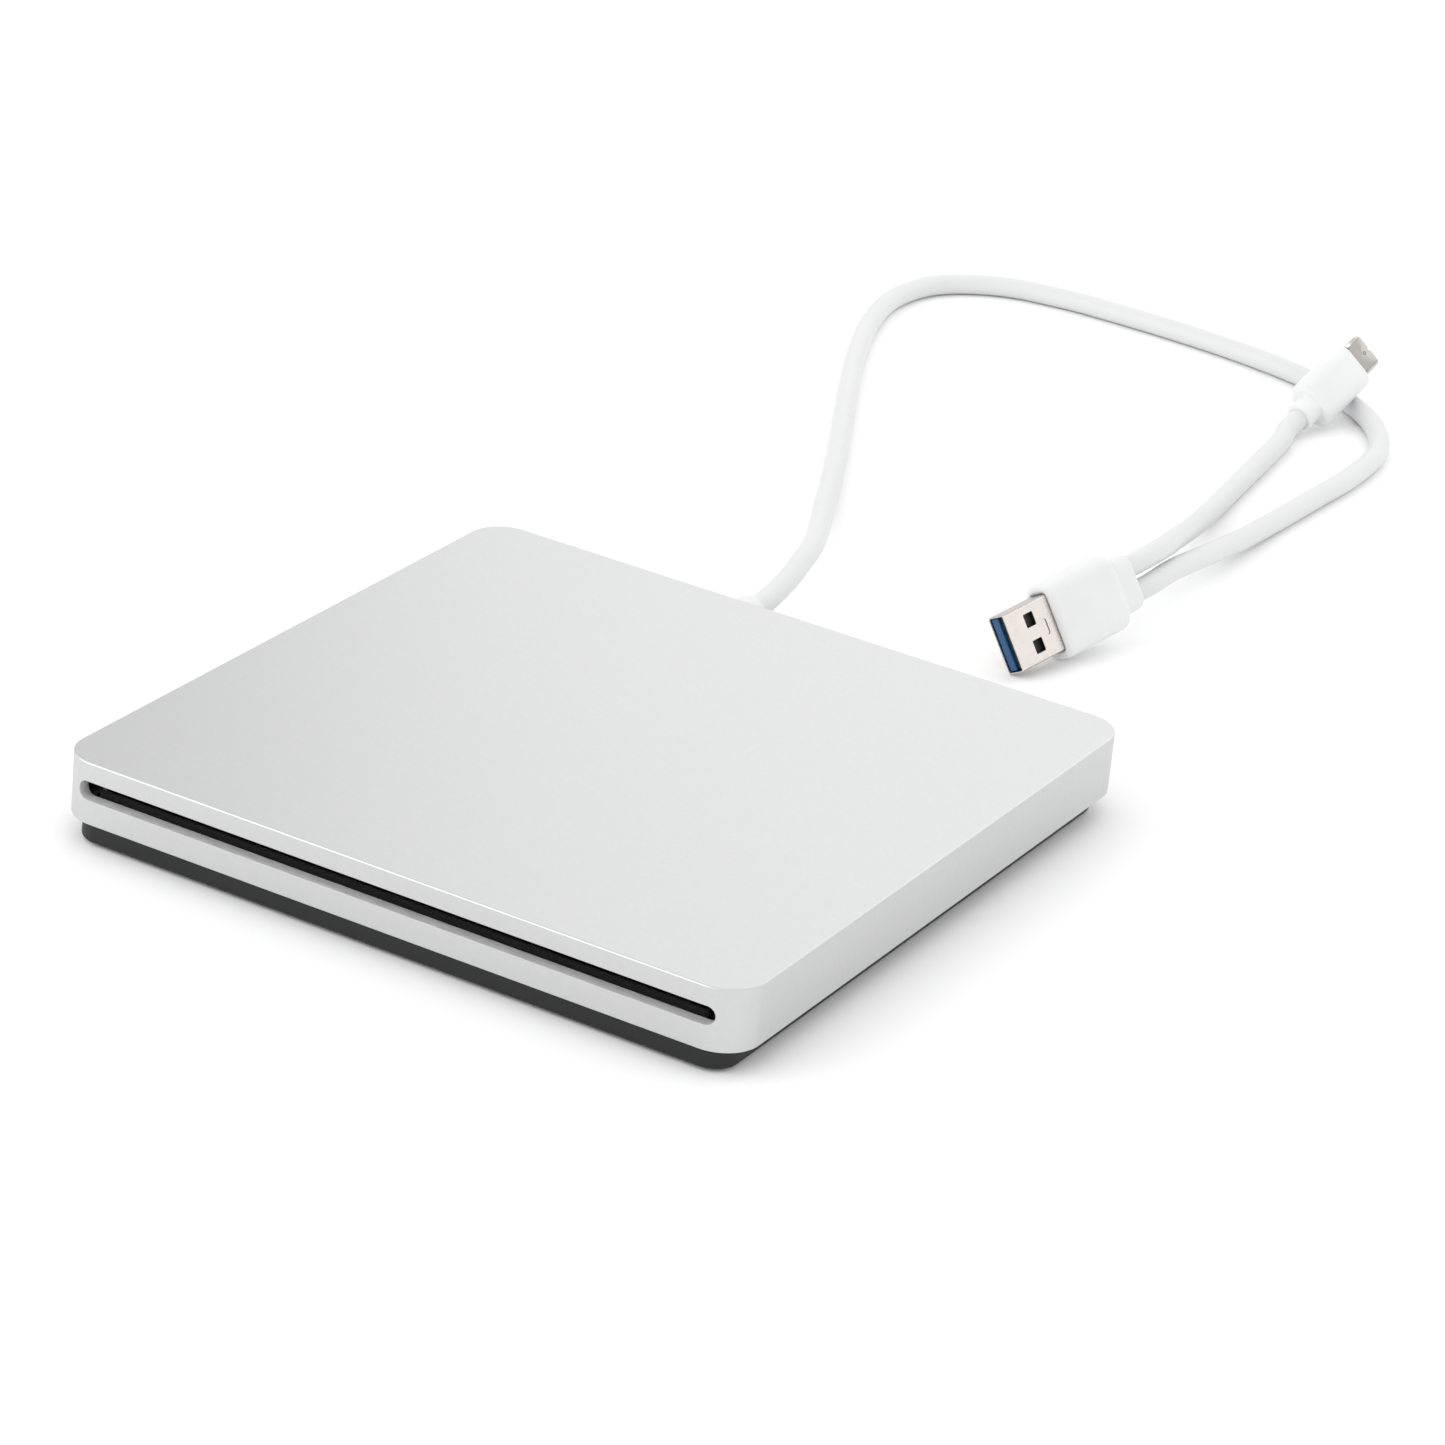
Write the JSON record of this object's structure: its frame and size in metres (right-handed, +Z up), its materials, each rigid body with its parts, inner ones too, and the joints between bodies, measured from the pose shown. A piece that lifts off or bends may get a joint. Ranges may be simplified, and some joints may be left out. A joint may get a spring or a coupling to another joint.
{
  "type": "external optical drive",
  "caption": "Slim square slot-loading external disc drive: satin aluminium shell on a black base, with a captive white Y cable ending in a wide and a narrow USB plug.",
  "frame": {"origin": "on the resting surface, under the middle of the case", "axes": "+X right along the disc slot, +Y from the slot towards the back, +Z up"},
  "size_m": [0.1648, 0.3765, 0.0182],
  "materials": {
    "aluminium": "satin, fine bead-blasted and clear anodised",
    "black_plastic": "fine moulded texture, low sheen",
    "rubber": "matt",
    "felt": "short black pile",
    "sheet_steel": "zinc-plated sheet",
    "cast_metal": "die-cast, slightly grainy",
    "bright_steel": "polished",
    "acetal": "natural acetal, waxy",
    "mechanism_black": "smooth moulded",
    "lens": "coated lens",
    "circuit_board": "green solder mask",
    "chip": "moulded epoxy",
    "ribbon": "amber film",
    "white_jacket": "soft white thermoplastic elastomer",
    "white_overmould": "smooth satin white",
    "nickel": "warm nickel plate, drawn",
    "blue_insulator": "moulded blue",
    "connector_black": "moulded black",
    "gold_contact": "gold flash"
  },
  "bodies": {
    "case": {"top_shell": "aluminium", "base_cover": "black_plastic", "foot_front_left": "rubber", "foot_front_right": "rubber", "foot_back_left": "rubber", "foot_back_right": "rubber", "case_screw_front_left": "bright_steel", "case_screw_front_right": "bright_steel", "case_screw_back_left": "bright_steel", "case_screw_back_right": "bright_steel", "slot_felt_upper": "felt", "slot_felt_lower": "felt", "drive_chassis": "sheet_steel", "drive_lid": "sheet_steel", "loading_deck": "sheet_steel", "main_board": "circuit_board", "controller_chip": "chip", "motor_driver_chip": "chip", "sata_connector": "black_plastic", "bridge_board": "circuit_board", "bridge_chip": "chip", "cable_header": "acetal", "traverse_ribbon": "ribbon", "loading_motor": "sheet_steel", "internal_leads": "white_jacket", "strain_relief": "white_jacket", "main_cable": "white_jacket", "branch_cable": "white_jacket", "usb_a_overmould": "white_overmould", "usb_a_shell": "nickel", "usb_a_insulator": "blue_insulator", "usb_a_contacts": "gold_contact", "usb_c_overmould": "white_overmould", "usb_c_shell": "nickel", "usb_c_insulator": "connector_black"},
    "traverse": {"traverse_frame": "cast_metal", "guide_rod_main": "bright_steel", "guide_rod_sub": "bright_steel", "spindle_stator": "cast_metal", "feed_motor": "sheet_steel"},
    "spindle": {"spindle_turntable": "mechanism_black"},
    "sled": {"pickup_sled": "cast_metal", "feed_nut": "acetal"},
    "lens": {"lens_holder": "mechanism_black", "objective_lens": "lens"},
    "feed_screw": {"feed_screw": "bright_steel"},
    "cam_slider": {"cam_slider": "acetal"},
    "slider_pinion": {"slider_pinion": "acetal"},
    "worm_wheel": {"worm_wheel": "acetal"},
    "worm": {"worm": "acetal"},
    "arm_left": {"loading_arm_left": "sheet_steel"},
    "arm_right": {"loading_arm_right": "sheet_steel"},
    "roller_left": {"roller_left": "rubber"},
    "roller_right": {"roller_right": "rubber"},
    "eject_lever": {"eject_lever": "acetal"}
  },
  "joints": [
    {"name": "traverse_lift", "type": "slide", "parent": "case", "child": "traverse", "axis": [0, 0, 1], "range_m": [0, 0.0024]},
    {"name": "spindle_spin", "type": "hinge", "parent": "traverse", "child": "spindle", "pos_m": [0, -0.0065, 0.007], "axis": [0, 0, 1], "continuous": true},
    {"name": "sled_travel", "type": "slide", "parent": "traverse", "child": "sled", "axis": [0.7071, -0.7071, 0], "range_m": [0, 0.033]},
    {"name": "lens_focus", "type": "slide", "parent": "sled", "child": "lens", "axis": [0, 0, 1], "range_m": [-0.0004, 0.0004], "stiffness_N_per_m": 30},
    {"name": "feed_screw_spin", "type": "hinge", "parent": "traverse", "child": "feed_screw", "pos_m": [0.04101, -0.02206, 0.0057], "axis": [0.7071, -0.7071, 0], "range_deg": [0, 3961]},
    {"name": "cam_slide", "type": "slide", "parent": "case", "child": "cam_slider", "axis": [-0.7071, 0.7071, 0], "range_m": [0, 0.0121]},
    {"name": "slider_pinion_spin", "type": "hinge", "parent": "case", "child": "slider_pinion", "pos_m": [-0.00891, -0.02955, 0.0068], "axis": [0, 0, 1], "range_deg": [0, 173]},
    {"name": "worm_wheel_spin", "type": "hinge", "parent": "case", "child": "worm_wheel", "pos_m": [-0.01598, -0.03662, 0.0068], "axis": [0, 0, 1], "range_deg": [-116, 0]},
    {"name": "worm_spin", "type": "hinge", "parent": "case", "child": "worm", "pos_m": [-0.02164, -0.04228, 0.0068], "axis": [0.7071, -0.7071, 0], "range_deg": [0, 2752]},
    {"name": "arm_right_swing", "type": "hinge", "parent": "case", "child": "arm_right", "pos_m": [0.046, 0.038, 0.0093], "axis": [0, 0, 1], "range_deg": [-5, 8], "stiffness_Nm_per_rad": 0.005},
    {"name": "arm_left_swing", "type": "hinge", "parent": "case", "child": "arm_left", "pos_m": [-0.046, 0.038, 0.0093], "axis": [0, 0, 1], "range_deg": [-8, 5]},
    {"name": "roller_right_spin", "type": "hinge", "parent": "arm_right", "child": "roller_right", "pos_m": [0.05, -0.031, 0.0114], "axis": [0, 0, 1], "continuous": true},
    {"name": "roller_left_spin", "type": "hinge", "parent": "arm_left", "child": "roller_left", "pos_m": [-0.05, -0.031, 0.0114], "axis": [0, 0, 1], "continuous": true},
    {"name": "eject_lever_swing", "type": "hinge", "parent": "case", "child": "eject_lever", "pos_m": [0.044, 0.05, 0.0093], "axis": [0, 0, 1], "range_deg": [0, 30], "stiffness_Nm_per_rad": 0.003}
  ],
  "couplings": [
    {"joint": "cam_slide", "follows": "traverse_lift", "ratio": 5},
    {"joint": "slider_pinion_spin", "follows": "traverse_lift", "rad_per_m": 1250},
    {"joint": "worm_wheel_spin", "follows": "traverse_lift", "rad_per_m": -833.33},
    {"joint": "worm_spin", "follows": "traverse_lift", "rad_per_m": 20000},
    {"joint": "feed_screw_spin", "follows": "sled_travel", "rad_per_m": 2094.4},
    {"joint": "arm_left_swing", "follows": "arm_right_swing", "ratio": -1}
  ]
}
